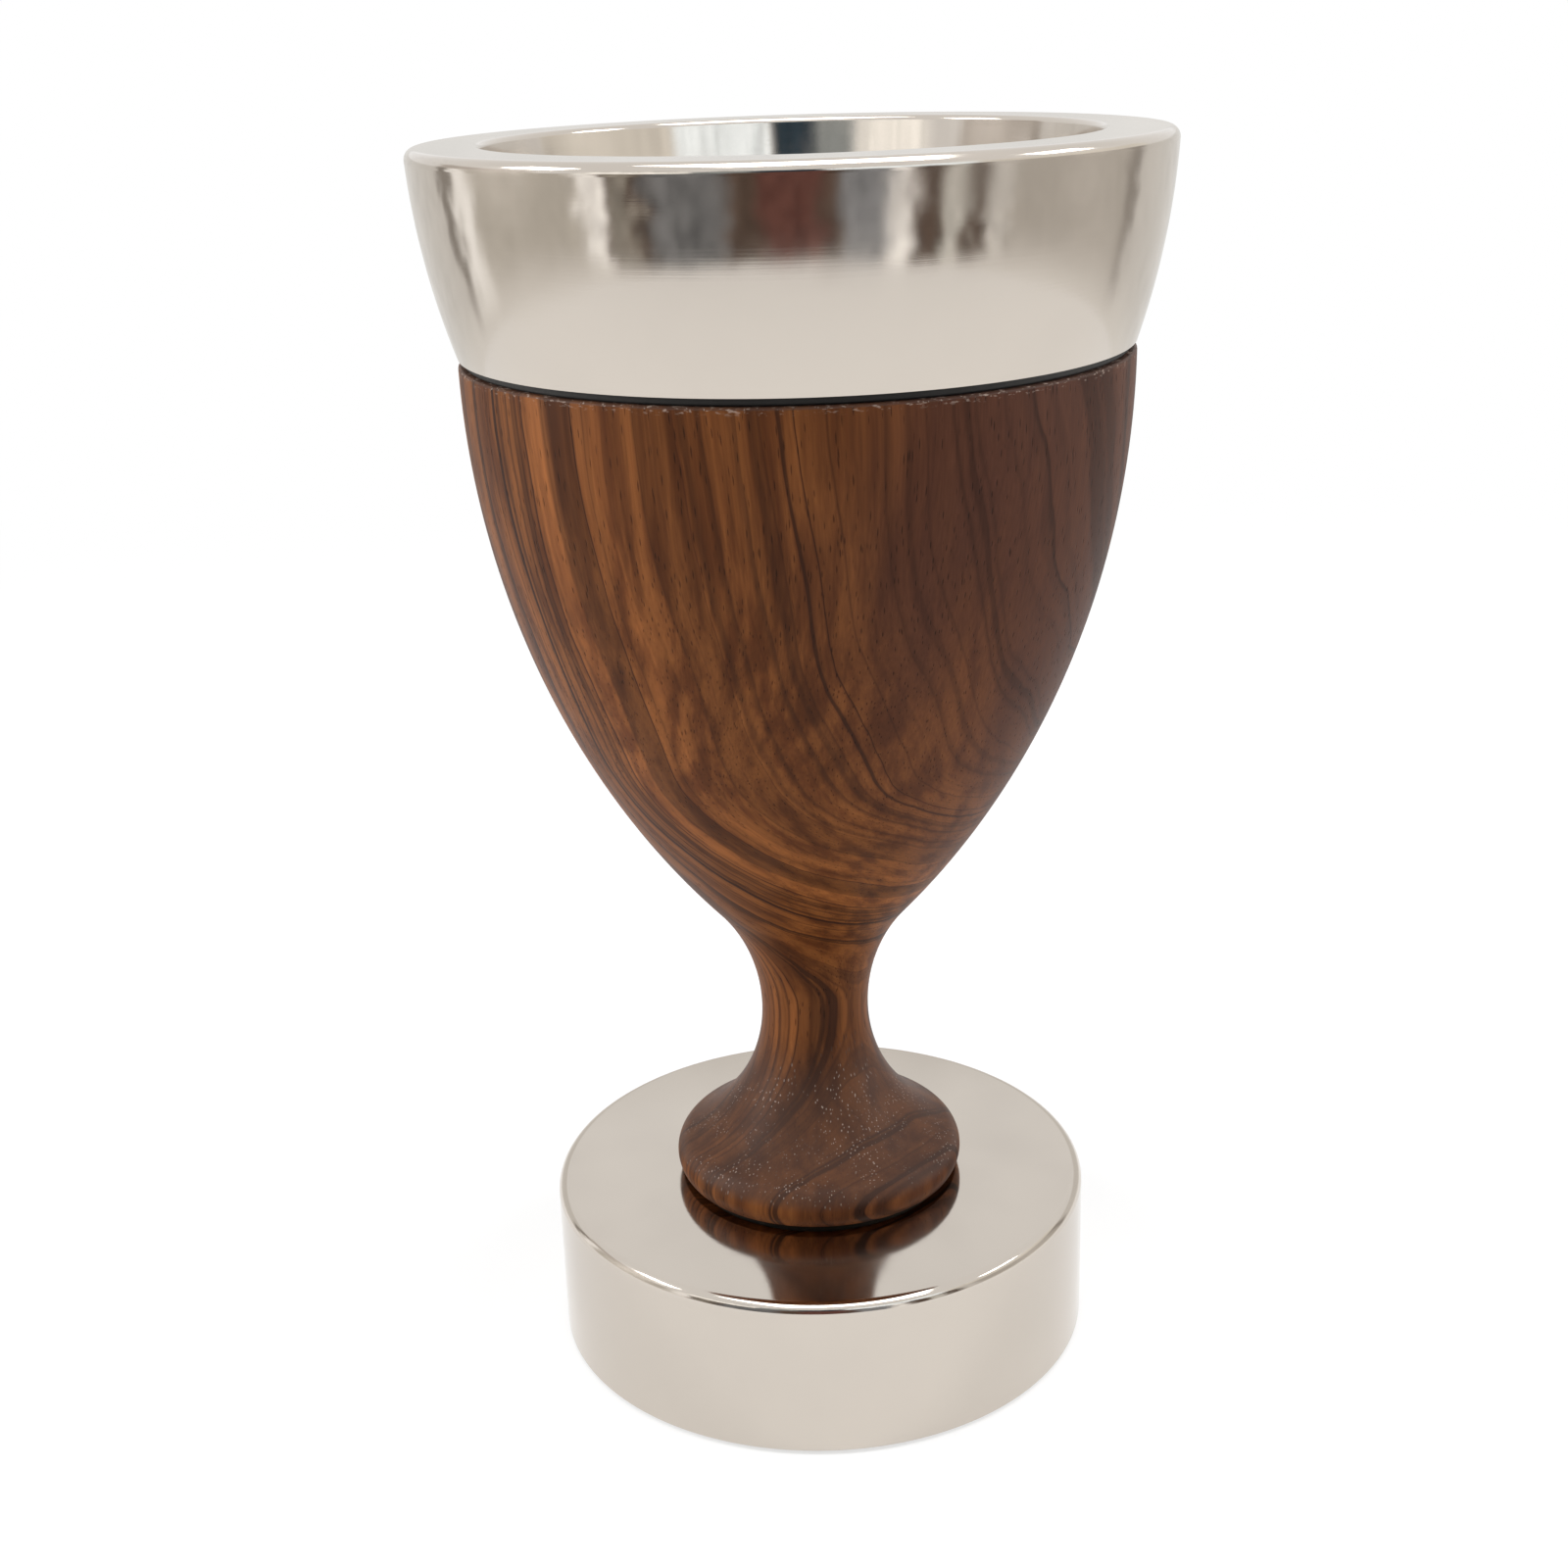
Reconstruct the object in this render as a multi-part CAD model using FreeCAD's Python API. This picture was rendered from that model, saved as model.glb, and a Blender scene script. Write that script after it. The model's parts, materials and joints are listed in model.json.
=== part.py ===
"""Communion chalice: a turned walnut bowl, stem and foot between a polished nickel cup and base.

Millimetres, +Z up, origin at the centre of the face that the chalice stands on. Every piece is
turned about Z apart from the nut, the screws and the split in the spring washer.

The stand is held together by one tie rod: it screws into a brass bush in the floor of the
walnut socket and is drawn down by a nut inside the hollow base. The nickel cup is a separate
vessel that plugs into the socket, so it lifts out to be washed.
"""

import FreeCAD, Part

import math
import os

# ---- base ---------------------------------------------------------------------------------
BASE_DIAMETER = 91.0
BASE_HEIGHT = 27.5  # top face above the surface that the chalice stands on
BASE_WALL = 2.5
BASE_EDGE_RADIUS = 1.8  # polished round along the top edge
BASE_LIP_LIFT = 0.6  # lower edge of the wall above that surface
BASE_LIP_CHAMFER = 0.4
FELT_THICKNESS = 1.6
BASE_PLATE_THICKNESS = 1.5
BASE_PLATE_GAP = 0.5  # radial, felt and plate inside the wall

# ---- ballast and the rod's fastenings -------------------------------------------------------
BALLAST_THICKNESS = 14.0
BALLAST_BOSS_GAP = 1.5  # between the ballast and the screw bosses
BALLAST_RECESS_DEPTH = 5.0
BALLAST_RECESS_GAP = 1.0  # radial, round the washer
ROD_DIAMETER = 6.0
ROD_HOLE_GAP = 0.3  # radial, where the rod passes through
ROD_THREAD_GAP = 0.05  # radial, where it is screwed in
ROD_BEYOND_NUT = 1.5
ROD_CHAMFER = 0.6
WASHER_DIAMETER = 18.0
WASHER_THICKNESS = 1.6
SPRING_WASHER_DIAMETER = 11.0
SPRING_WASHER_THICKNESS = 1.5
SPRING_WASHER_SPLIT = 1.0
NUT_ACROSS_FLATS = 10.0
NUT_THICKNESS = 5.0

# ---- base plate screws ----------------------------------------------------------------------
SCREW_COUNT = 3
SCREW_DIAMETER = 3.0
SCREW_HEAD_DIAMETER = 6.0
SCREW_LENGTH = 9.0
SCREW_SLOT_WIDTH = 0.8
SCREW_SLOT_DEPTH = 0.7
SCREW_GAP = 0.05  # radial, thread and countersink
SCREW_TIP_SPACE = 1.5  # below the blind end of the hole
BOSS_WALL = 2.5  # round the screw
BOSS_WALL_OVERLAP = 0.6  # how far each boss runs into the base wall

# ---- walnut body ------------------------------------------------------------------------------
FOOT_WASHER_THICKNESS = 1.0
FOOT_WASHER_INSET = 1.6  # its edge inside the foot's lower edge
FOOT_DIAMETER = 49.0
FOOT_ROUND = 4.6  # radius of the foot's rounded rim
FOOT_WIDEST_RISE = 2.6  # widest point above the foot's underside
WAIST_DIAMETER = 18.0
WAIST_RISE = 29.5  # narrowest point above the foot's underside
NECK_RADIUS = 29.0  # hollow between the waist and the bowl
WOOD_HEIGHT = 140.0
WOOD_TOP_DIAMETER = 102.8
WOOD_TOP_ROUND = 0.5
WOOD_BORE_GAP = 0.5  # radial, round the rod

# ---- cup --------------------------------------------------------------------------------------
GASKET_THICKNESS = 1.2
GASKET_INSET = 0.9  # its outer edge inside the walnut's top edge
GASKET_BORE_GAP = 1.2  # radial, round the drinking bowl
BAND_HEIGHT = 28.5
BAND_WALL = 1.2
BAND_CROWN = 0.95  # bulge of the band's face beyond a straight cone
RIM_DIAMETER = 113.6
BRIM_THICKNESS = 1.8
BRIM_OUTER_ROUND = 1.6
BRIM_INNER_ROUND = 0.9
MOUTH_DIAMETER = 92.0
MOUTH_CONE_HEIGHT = 20.0  # straight wall below the brim's top
MOUTH_LEAN = 8.0  # degrees, outwards from upright
BOWL_CURVE_HEIGHT = 60.0  # the rounded part under the cone
BOWL_WALL = 1.0
SEAT_RING_THICKNESS = 1.5
SEAT_RING_GAP = 0.05  # radial, soldered
SOCKET_GAP = 0.8  # between the bowl and the walnut

# ---- spigot and bush that hold the cup upright ----------------------------------------------
SPIGOT_DIAMETER = 10.0
SPIGOT_LENGTH = 18.0
SPIGOT_CHAMFER = 0.8
SPIGOT_FLANGE_DIAMETER = 22.0
SPIGOT_FLANGE_THICKNESS = 3.0
O_RING_SECTION = 2.0
O_RING_SIDE_GAP = 0.2  # each side, in its groove
O_RING_DROP = 9.0  # its centre below the spigot's flange
BUSH_RUNNING_GAP = 0.05  # radial, round the spigot
BUSH_TOP_GAP = 0.5  # under the spigot's flange
BUSH_END_GAP = 1.0  # under the spigot's tip
BUSH_FLANGE_DIAMETER = 24.0
BUSH_FLANGE_THICKNESS = 2.5
BUSH_BODY_WALL = 3.0
BUSH_THREAD_LENGTH = 10.0
BUSH_WOOD_GAP = 0.1  # radial, round the body
BUSH_RECESS_GAP = 0.8  # radial, round the flange
ROD_END_GAP = 1.0  # between the rod's end and the floor of the bush's bore

# ---- heights and radii that follow ----------------------------------------------------------
base_radius = BASE_DIAMETER / 2
base_inner_radius = base_radius - BASE_WALL
base_ceiling = BASE_HEIGHT - BASE_WALL
plate_top = FELT_THICKNESS + BASE_PLATE_THICKNESS
plate_radius = base_inner_radius - BASE_PLATE_GAP

rod_radius = ROD_DIAMETER / 2
rod_hole_radius = rod_radius + ROD_HOLE_GAP
washer_top = base_ceiling - BALLAST_THICKNESS + BALLAST_RECESS_DEPTH
spring_washer_top = washer_top - WASHER_THICKNESS
nut_top = spring_washer_top - SPRING_WASHER_THICKNESS
rod_bottom = nut_top - NUT_THICKNESS - ROD_BEYOND_NUT

boss_radius = SCREW_DIAMETER / 2 + BOSS_WALL
boss_circle_radius = base_inner_radius + BOSS_WALL_OVERLAP - boss_radius
ballast_radius = boss_circle_radius - boss_radius - BALLAST_BOSS_GAP

wood_bottom = BASE_HEIGHT + FOOT_WASHER_THICKNESS
wood_top = wood_bottom + WOOD_HEIGHT
wood_top_radius = WOOD_TOP_DIAMETER / 2
wood_bore_radius = rod_radius + WOOD_BORE_GAP

band_bottom = wood_top + GASKET_THICKNESS
band_top = band_bottom + BAND_HEIGHT
rim_top = band_top + BRIM_THICKNESS
rim_radius = RIM_DIAMETER / 2
mouth_radius = MOUTH_DIAMETER / 2
mouth_slope = math.tan(math.radians(MOUTH_LEAN))
bowl_spring = rim_top - MOUTH_CONE_HEIGHT  # height where the mouth's cone starts to curve
bowl_spring_radius = mouth_radius - mouth_slope * MOUTH_CONE_HEIGHT
# The bowl is the lower part of an ellipse, with its centre so high that it meets the cone smoothly.
bowl_centre_rise = (mouth_slope * BOWL_CURVE_HEIGHT**2) / (
    bowl_spring_radius - 2 * mouth_slope * BOWL_CURVE_HEIGHT
)
bowl_centre_height = bowl_spring + bowl_centre_rise
bowl_half_height = BOWL_CURVE_HEIGHT + bowl_centre_rise
bowl_half_width = bowl_spring_radius / math.sqrt(1 - (bowl_centre_rise / bowl_half_height) ** 2)
bowl_underside = bowl_spring - BOWL_CURVE_HEIGHT - BOWL_WALL

spigot_radius = SPIGOT_DIAMETER / 2
spigot_flange_bottom = bowl_underside - SPIGOT_FLANGE_THICKNESS
spigot_bottom = spigot_flange_bottom - SPIGOT_LENGTH
o_ring_height = spigot_flange_bottom - O_RING_DROP
bush_top = spigot_flange_bottom - BUSH_TOP_GAP
bush_seat = bush_top - BUSH_FLANGE_THICKNESS
bush_bore_radius = spigot_radius + BUSH_RUNNING_GAP
bush_bore_floor = spigot_bottom - BUSH_END_GAP
bush_bottom = bush_bore_floor - BUSH_THREAD_LENGTH
bush_body_radius = bush_bore_radius + BUSH_BODY_WALL
rod_top = bush_bore_floor - ROD_END_GAP


# ---- outlines -----------------------------------------------------------------------------------
def at(radius, height):
    """A point of an outline, in the plane that is turned about Z."""
    return FreeCAD.Vector(radius, 0, height)


def polyline(points):
    """Straight edges through the points, in order."""
    return [Part.makeLine(a, b) for a, b in zip(points, points[1:])]


def arc(start, middle, end):
    return Part.Arc(start, middle, end).toShape()


def arc_about(centre, start, end):
    """The short arc from start to end about a centre that is as far from both."""
    bisector = ((start - centre) + (end - centre)).normalize()
    return arc(start, centre + bisector * (start - centre).Length, end)


def bowl_radius(height, offset):
    """Radius, at a height, of the bowl's rounded inside, or of the surface that far outside it."""
    drop = (bowl_centre_height - height) / (bowl_half_height + offset)
    return (bowl_half_width + offset) * math.sqrt(1 - drop * drop)


def bowl_height(radius, offset):
    share = radius / (bowl_half_width + offset)
    return bowl_centre_height - (bowl_half_height + offset) * math.sqrt(1 - share * share)


def bowl_edge(offset, inner_radius, outer_radius):
    """The bowl's rounded inside, or a parallel that far outside it, between two radii."""
    centre = at(0, bowl_centre_height)
    side = at(bowl_half_width + offset, bowl_centre_height)
    bottom = at(0, bowl_centre_height - bowl_half_height - offset)
    if bowl_half_height >= bowl_half_width:
        ellipse = Part.Ellipse(bottom, side, centre)
    else:
        ellipse = Part.Ellipse(side, bottom, centre)
    ends = [ellipse.parameter(at(r, bowl_height(r, offset))) for r in (inner_radius, outer_radius)]
    first, last = sorted(ends)
    if last - first > math.pi:
        first, last = last, first + 2 * math.pi
    return ellipse.toShape(first, last)


def turned(edges):
    """The solid that a closed outline makes when it is turned about Z."""
    wire = Part.Wire(Part.__sortEdges__(edges))
    return Part.Face(wire).revolve(at(0, 0), FreeCAD.Vector(0, 0, 1), 360)


def lathed(points):
    return turned(polyline(points + points[:1]))


def ring(inner_radius, outer_radius, bottom, top):
    return lathed(
        [at(inner_radius, bottom), at(outer_radius, bottom), at(outer_radius, top), at(inner_radius, top)]
    )


def rounded(solid, radius, edge_radius, height):
    """The solid with its circular edge of that radius, at that height, rounded."""
    found = [
        e
        for e in solid.Edges
        if not e.Degenerated
        and isinstance(e.Curve, Part.Circle)
        and abs(e.Curve.Radius - edge_radius) < 1e-6
        and abs(e.Curve.Center.z - height) < 1e-6
    ]
    return solid.makeFillet(radius, found)


# ---- base ---------------------------------------------------------------------------------------
def screw_places():
    for i in range(SCREW_COUNT):
        turn = 2 * math.pi * i / SCREW_COUNT + math.pi / 2
        yield FreeCAD.Vector(boss_circle_radius * math.cos(turn), boss_circle_radius * math.sin(turn), 0)


def base_shell():
    cap = lathed(
        [
            at(rod_hole_radius, base_ceiling),
            at(base_inner_radius, base_ceiling),
            at(base_inner_radius, BASE_LIP_LIFT),
            at(base_radius - BASE_LIP_CHAMFER, BASE_LIP_LIFT),
            at(base_radius, BASE_LIP_LIFT + BASE_LIP_CHAMFER),
            at(base_radius, BASE_HEIGHT),
            at(rod_hole_radius, BASE_HEIGHT),
        ]
    )
    cap = rounded(cap, BASE_EDGE_RADIUS, base_radius, BASE_HEIGHT)
    boss_height = base_ceiling - plate_top
    hole_depth = SCREW_LENGTH + SCREW_TIP_SPACE
    for place in screw_places():
        foot = place + at(0, plate_top)
        cap = cap.fuse(Part.makeCylinder(boss_radius, boss_height, foot))
        cap = cap.cut(Part.makeCylinder(SCREW_DIAMETER / 2 + SCREW_GAP, hole_depth, foot))
    return cap.removeSplitter()


def ballast_disc():
    bottom = base_ceiling - BALLAST_THICKNESS
    recess_radius = WASHER_DIAMETER / 2 + BALLAST_RECESS_GAP
    return lathed(
        [
            at(rod_hole_radius, base_ceiling),
            at(ballast_radius, base_ceiling),
            at(ballast_radius, bottom),
            at(recess_radius, bottom),
            at(recess_radius, washer_top),
            at(rod_hole_radius, washer_top),
        ]
    )


def countersink(extra):
    """A screw's head cone with its shank, widened all over by extra."""
    shank = SCREW_DIAMETER / 2 + extra
    head = SCREW_HEAD_DIAMETER / 2 + extra
    return lathed(
        [
            at(0, FELT_THICKNESS),
            at(head, FELT_THICKNESS),
            at(shank, FELT_THICKNESS + head - shank),
            at(shank, FELT_THICKNESS + SCREW_LENGTH),
            at(0, FELT_THICKNESS + SCREW_LENGTH),
        ]
    )


def base_plate():
    plate = Part.makeCylinder(plate_radius, BASE_PLATE_THICKNESS, at(0, FELT_THICKNESS))
    for place in screw_places():
        plate = plate.cut(countersink(SCREW_GAP).translated(place))
    return plate


def base_plate_screws():
    slot = Part.makeBox(
        SCREW_HEAD_DIAMETER,
        SCREW_SLOT_WIDTH,
        SCREW_SLOT_DEPTH,
        FreeCAD.Vector(-SCREW_HEAD_DIAMETER / 2, -SCREW_SLOT_WIDTH / 2, FELT_THICKNESS),
    )
    screw = countersink(0).cut(slot)
    return Part.makeCompound([screw.translated(place) for place in screw_places()])


def felt_pad():
    return Part.makeCylinder(plate_radius, FELT_THICKNESS)


# ---- rod and its fastenings -------------------------------------------------------------------
def tie_rod():
    return lathed(
        [
            at(0, rod_bottom),
            at(rod_radius - ROD_CHAMFER, rod_bottom),
            at(rod_radius, rod_bottom + ROD_CHAMFER),
            at(rod_radius, rod_top - ROD_CHAMFER),
            at(rod_radius - ROD_CHAMFER, rod_top),
            at(0, rod_top),
        ]
    )


def rod_washer():
    return ring(rod_hole_radius, WASHER_DIAMETER / 2, washer_top - WASHER_THICKNESS, washer_top)


def spring_washer():
    outer = SPRING_WASHER_DIAMETER / 2
    bottom = spring_washer_top - SPRING_WASHER_THICKNESS
    split = Part.makeBox(
        outer,
        SPRING_WASHER_SPLIT,
        SPRING_WASHER_THICKNESS,
        FreeCAD.Vector(0, -SPRING_WASHER_SPLIT / 2, bottom),
    )
    return ring(rod_hole_radius, outer, bottom, spring_washer_top).cut(split)


def rod_nut():
    corner_radius = NUT_ACROSS_FLATS / math.sqrt(3)
    bottom = nut_top - NUT_THICKNESS
    corners = [
        FreeCAD.Vector(corner_radius * math.cos(k * math.pi / 3), corner_radius * math.sin(k * math.pi / 3), bottom)
        for k in range(7)
    ]
    hexagon = Part.Face(Part.makePolygon(corners)).extrude(at(0, NUT_THICKNESS))
    flat_radius = NUT_ACROSS_FLATS / 2
    bevel = (corner_radius - flat_radius) / math.sqrt(3)
    bevels = lathed(
        [
            at(0, bottom),
            at(flat_radius, bottom),
            at(corner_radius, bottom + bevel),
            at(corner_radius, nut_top - bevel),
            at(flat_radius, nut_top),
            at(0, nut_top),
        ]
    )
    hole = Part.makeCylinder(rod_radius + ROD_THREAD_GAP, NUT_THICKNESS, at(0, bottom))
    return hexagon.common(bevels).cut(hole)


def socket_bush():
    thread_radius = rod_radius + ROD_THREAD_GAP
    return lathed(
        [
            at(thread_radius, bush_bottom),
            at(bush_body_radius, bush_bottom),
            at(bush_body_radius, bush_seat),
            at(BUSH_FLANGE_DIAMETER / 2, bush_seat),
            at(BUSH_FLANGE_DIAMETER / 2, bush_top),
            at(bush_bore_radius + SPIGOT_CHAMFER, bush_top),
            at(bush_bore_radius, bush_top - SPIGOT_CHAMFER),
            at(bush_bore_radius, bush_bore_floor),
            at(thread_radius, bush_bore_floor),
        ]
    )


# ---- walnut -------------------------------------------------------------------------------------
def walnut_face():
    """Outside of the walnut from its underside to its top: four arcs, each tangent to the next."""
    foot_radius = FOOT_DIAMETER / 2
    waist_radius = WAIST_DIAMETER / 2
    waist_height = wood_bottom + WAIST_RISE

    foot_centre = at(foot_radius - FOOT_ROUND, wood_bottom + FOOT_WIDEST_RISE)
    across = waist_radius - foot_centre.x
    up = waist_height - foot_centre.z
    flare_radius = (across**2 + up**2 - FOOT_ROUND**2) / (2 * (FOOT_ROUND - across))
    flare_centre = at(waist_radius + flare_radius, waist_height)
    flare_start = foot_centre + (flare_centre - foot_centre).normalize() * FOOT_ROUND

    neck_centre = at(waist_radius + NECK_RADIUS, waist_height)
    across = neck_centre.x - wood_top_radius
    up = wood_top - waist_height
    face_radius = (across**2 + up**2 - NECK_RADIUS**2) / (2 * (wood_top_radius - waist_radius))
    face_centre = at(wood_top_radius - face_radius, wood_top)
    face_start = face_centre + (neck_centre - face_centre).normalize() * face_radius

    edge_radius = foot_centre.x + math.sqrt(FOOT_ROUND**2 - FOOT_WIDEST_RISE**2)
    foot_edge = at(edge_radius, wood_bottom)
    waist = at(waist_radius, waist_height)
    top = at(wood_top_radius, wood_top)
    edges = [
        arc_about(foot_centre, foot_edge, flare_start),
        arc_about(flare_centre, flare_start, waist),
        arc_about(neck_centre, waist, face_start),
        arc_about(face_centre, face_start, top),
    ]
    return foot_edge, edges, top


def walnut_body():
    foot_edge, face, top = walnut_face()
    socket_offset = BOWL_WALL + SOCKET_GAP
    lip = at(bowl_radius(wood_top, socket_offset), wood_top)
    recess_radius = BUSH_FLANGE_DIAMETER / 2 + BUSH_RECESS_GAP
    recess_edge = at(recess_radius, bowl_height(recess_radius, socket_offset))
    bush_hole_radius = bush_body_radius + BUSH_WOOD_GAP
    inside = polyline(
        [
            recess_edge,
            at(recess_radius, bush_seat),
            at(bush_hole_radius, bush_seat),
            at(bush_hole_radius, bush_bottom),
            at(wood_bore_radius, bush_bottom),
            at(wood_bore_radius, wood_bottom),
            foot_edge,
        ]
    )
    socket = bowl_edge(socket_offset, recess_radius, lip.x)
    body = turned(face + [Part.makeLine(top, lip), socket] + inside)
    return rounded(body, WOOD_TOP_ROUND, wood_top_radius, wood_top)


def foot_washer():
    foot_edge, _, _ = walnut_face()
    return ring(wood_bore_radius, foot_edge.x - FOOT_WASHER_INSET, BASE_HEIGHT, wood_bottom)


# ---- cup ----------------------------------------------------------------------------------------
def seat_gasket():
    inner = bowl_radius(band_bottom, BOWL_WALL)
    return ring(inner + GASKET_BORE_GAP, wood_top_radius - GASKET_INSET, wood_top, band_bottom)


def drinking_bowl():
    """The spun vessel: rounded bowl, leaning mouth and the flat brim in one piece."""
    outer_spring_radius = bowl_radius(bowl_spring, BOWL_WALL)
    outer_mouth_radius = outer_spring_radius + mouth_slope * (band_top - bowl_spring)
    edges = [
        bowl_edge(0, 0, bowl_spring_radius),
        bowl_edge(BOWL_WALL, 0, outer_spring_radius),
        Part.makeLine(at(0, bowl_underside), at(0, bowl_underside + BOWL_WALL)),
    ] + polyline(
        [
            at(bowl_spring_radius, bowl_spring),
            at(mouth_radius, rim_top),
            at(rim_radius, rim_top),
            at(rim_radius, band_top),
            at(outer_mouth_radius, band_top),
            at(outer_spring_radius, bowl_spring),
        ]
    )
    vessel = rounded(turned(edges), BRIM_OUTER_ROUND, rim_radius, rim_top)
    return rounded(vessel, BRIM_INNER_ROUND, mouth_radius, rim_top)


def collar_band():
    """The visible outer face of the cup: a slightly crowned cone under the brim."""

    def crowned(inset):
        low = at(wood_top_radius - inset, band_bottom)
        high = at(rim_radius - inset, band_top)
        outward = at(high.z - low.z, low.x - high.x).normalize()
        return low, (low + high) * 0.5 + outward * BAND_CROWN, high

    outer, inner = crowned(0), crowned(BAND_WALL)
    return turned(
        [
            arc(*outer),
            Part.makeLine(outer[2], inner[2]),
            arc(*inner),
            Part.makeLine(inner[0], outer[0]),
        ]
    )


def seat_ring():
    """Closes the band's underside and carries the cup on its gasket."""
    top = band_bottom + SEAT_RING_THICKNESS
    inner = bowl_radius(top, BOWL_WALL) + SEAT_RING_GAP
    return ring(inner, wood_top_radius - BAND_WALL - SEAT_RING_GAP, band_bottom, top)


def cup_spigot():
    """Soldered under the bowl: a flange that fits the bowl's curve, and the pin below it."""
    flange_radius = SPIGOT_FLANGE_DIAMETER / 2
    flange_edge = at(flange_radius, bowl_height(flange_radius, BOWL_WALL))
    groove_radius = spigot_radius - O_RING_SECTION
    groove_half = O_RING_SECTION / 2 + O_RING_SIDE_GAP
    below = polyline(
        [
            flange_edge,
            at(flange_radius, spigot_flange_bottom),
            at(spigot_radius, spigot_flange_bottom),
            at(spigot_radius, o_ring_height + groove_half),
            at(groove_radius, o_ring_height + groove_half),
            at(groove_radius, o_ring_height - groove_half),
            at(spigot_radius, o_ring_height - groove_half),
            at(spigot_radius, spigot_bottom + SPIGOT_CHAMFER),
            at(spigot_radius - SPIGOT_CHAMFER, spigot_bottom),
            at(0, spigot_bottom),
            at(0, bowl_underside),
        ]
    )
    return turned([bowl_edge(BOWL_WALL, 0, flange_radius)] + below)


def spigot_o_ring():
    section_radius = O_RING_SECTION / 2
    return Part.makeTorus(spigot_radius - section_radius, section_radius, at(0, o_ring_height))


PIECES = [
    felt_pad,
    base_plate,
    base_plate_screws,
    base_shell,
    ballast_disc,
    rod_washer,
    spring_washer,
    rod_nut,
    tie_rod,
    foot_washer,
    walnut_body,
    socket_bush,
    seat_gasket,
    drinking_bowl,
    collar_band,
    seat_ring,
    cup_spigot,
    spigot_o_ring,
]


def main():
    os.makedirs("parts", exist_ok=True)
    for piece in PIECES:
        shape = piece()
        shape.exportStep(os.path.join("parts", piece.__name__ + ".step"))
        print(f"{piece.__name__}: {shape.Volume / 1000:.2f} cm3, valid {shape.isValid()}")
    print(f"overall height {rim_top:.1f}, rim {RIM_DIAMETER:.1f}, base {BASE_DIAMETER:.1f}")


main()
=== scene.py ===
"""Looks of a communion chalice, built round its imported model: nickel cup, walnut stand, nickel base.

Lengths are in metres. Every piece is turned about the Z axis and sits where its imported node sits.
"""

import json
import math

import bpy
from mathutils import Matrix, Vector


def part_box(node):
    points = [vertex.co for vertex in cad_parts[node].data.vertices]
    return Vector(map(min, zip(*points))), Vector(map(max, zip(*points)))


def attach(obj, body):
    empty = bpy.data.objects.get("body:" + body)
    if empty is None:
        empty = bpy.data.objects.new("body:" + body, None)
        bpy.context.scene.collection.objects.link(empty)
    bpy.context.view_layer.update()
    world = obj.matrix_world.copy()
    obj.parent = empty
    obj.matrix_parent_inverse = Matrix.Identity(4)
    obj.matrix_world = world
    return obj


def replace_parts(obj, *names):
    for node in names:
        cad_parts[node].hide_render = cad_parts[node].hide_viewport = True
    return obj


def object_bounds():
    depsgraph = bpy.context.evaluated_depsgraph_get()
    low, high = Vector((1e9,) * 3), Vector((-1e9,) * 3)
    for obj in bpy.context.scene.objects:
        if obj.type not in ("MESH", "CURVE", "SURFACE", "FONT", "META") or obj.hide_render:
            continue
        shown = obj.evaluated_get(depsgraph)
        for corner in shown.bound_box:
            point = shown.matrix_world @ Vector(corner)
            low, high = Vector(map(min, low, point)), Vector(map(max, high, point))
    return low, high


bl_info = {
    "name": "Turned Chalice",
    "version": (1, 0, 0),
    "blender": (4, 5, 0),
    "location": "3D View > Sidebar > Chalice",
    "description": "Builds a walnut and nickel chalice, its finishes and a small studio",
    "category": "Add Mesh",
}

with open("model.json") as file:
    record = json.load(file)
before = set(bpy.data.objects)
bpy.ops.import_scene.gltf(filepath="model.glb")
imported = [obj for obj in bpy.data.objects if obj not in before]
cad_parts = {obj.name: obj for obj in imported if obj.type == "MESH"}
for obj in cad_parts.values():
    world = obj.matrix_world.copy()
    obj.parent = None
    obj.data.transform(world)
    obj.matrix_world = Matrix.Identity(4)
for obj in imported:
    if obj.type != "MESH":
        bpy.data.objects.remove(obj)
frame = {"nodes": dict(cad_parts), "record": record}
cad_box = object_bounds()

MM = 0.001
SCREW_SPREAD = 0.01  # wider than one screw and narrower than the space between two


# ---- settings -----------------------------------------------------------------------------------
def length(name, description, millimetres):
    return bpy.props.FloatProperty(
        name=name, description=description, default=millimetres * MM, unit="LENGTH", precision=5
    )


def colour(name, description, red, green, blue):
    return bpy.props.FloatVectorProperty(
        name=name, description=description, default=(red, green, blue), subtype="COLOR", min=0, max=1
    )


def share(name, description, value):
    return bpy.props.FloatProperty(
        name=name, description=description, default=value, subtype="FACTOR", min=0, max=1
    )


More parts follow.
